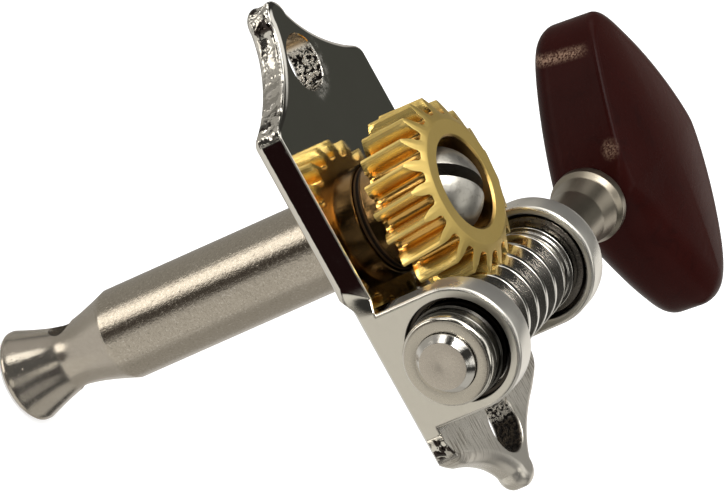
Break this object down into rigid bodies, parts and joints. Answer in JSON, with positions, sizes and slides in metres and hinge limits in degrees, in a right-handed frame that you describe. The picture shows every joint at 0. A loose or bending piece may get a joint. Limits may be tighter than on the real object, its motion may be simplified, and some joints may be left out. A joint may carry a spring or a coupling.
{
  "type": "guitar tuning machine",
  "caption": "Open-gear tuning machine for a stringed instrument: a side knob turns a worm that drives a brass wheel on the string post.",
  "frame": {"origin": "where the string post's axis crosses the back face of the base plate, the face that lies on the headstock", "axes": "+Z out of the headstock toward the worm wheel and screw, so the string post hangs down -Z; +X along the worm shaft from the end bush to the knob; +Y from the worm toward the ear above the post"},
  "size_m": [0.0419, 0.0343, 0.0365],
  "materials": {
    "nickel": "polished nickel plate on a cast plate, bright faces and a soft grain on the ears",
    "bush_nickel": "turned and nickel plated, satin face",
    "thrust_nickel": "turned and nickel plated",
    "washer_fibre": "stamped dark fibre, matt",
    "satin_nickel": "satin nickel plate with a fine lengthwise grain",
    "brass": "bare machined brass, satin face and bright tooth flanks",
    "screw_nickel": "domed and polished, with a dark slot",
    "chrome": "machined and chromed, bright thread",
    "ferrule_nickel": "turned and satin nickel plated",
    "burgundy_plastic": "moulded dark burgundy plastic, semi-gloss"
  },
  "bodies": {
    "plate": {"base_plate": "nickel", "worm_end_bush": "bush_nickel", "thrust_washer": "thrust_nickel", "hub_washer": "washer_fibre"},
    "post": {"string_post": "satin_nickel", "worm_wheel": "brass", "wheel_screw": "screw_nickel"},
    "worm": {"worm_shaft": "chrome", "knob_ferrule": "ferrule_nickel", "knob": "burgundy_plastic"}
  },
  "joints": [
    {"name": "worm_spin", "type": "hinge", "parent": "plate", "child": "worm", "pos_m": [0, -0.0079, 0.00587], "axis": [1, 0, 0], "continuous": true},
    {"name": "post_spin", "type": "hinge", "parent": "plate", "child": "post", "pos_m": [0, 0, 0], "axis": [0, 0, 1], "continuous": true}
  ],
  "couplings": [
    {"joint": "post_spin", "follows": "worm_spin", "ratio": 0.05}
  ]
}
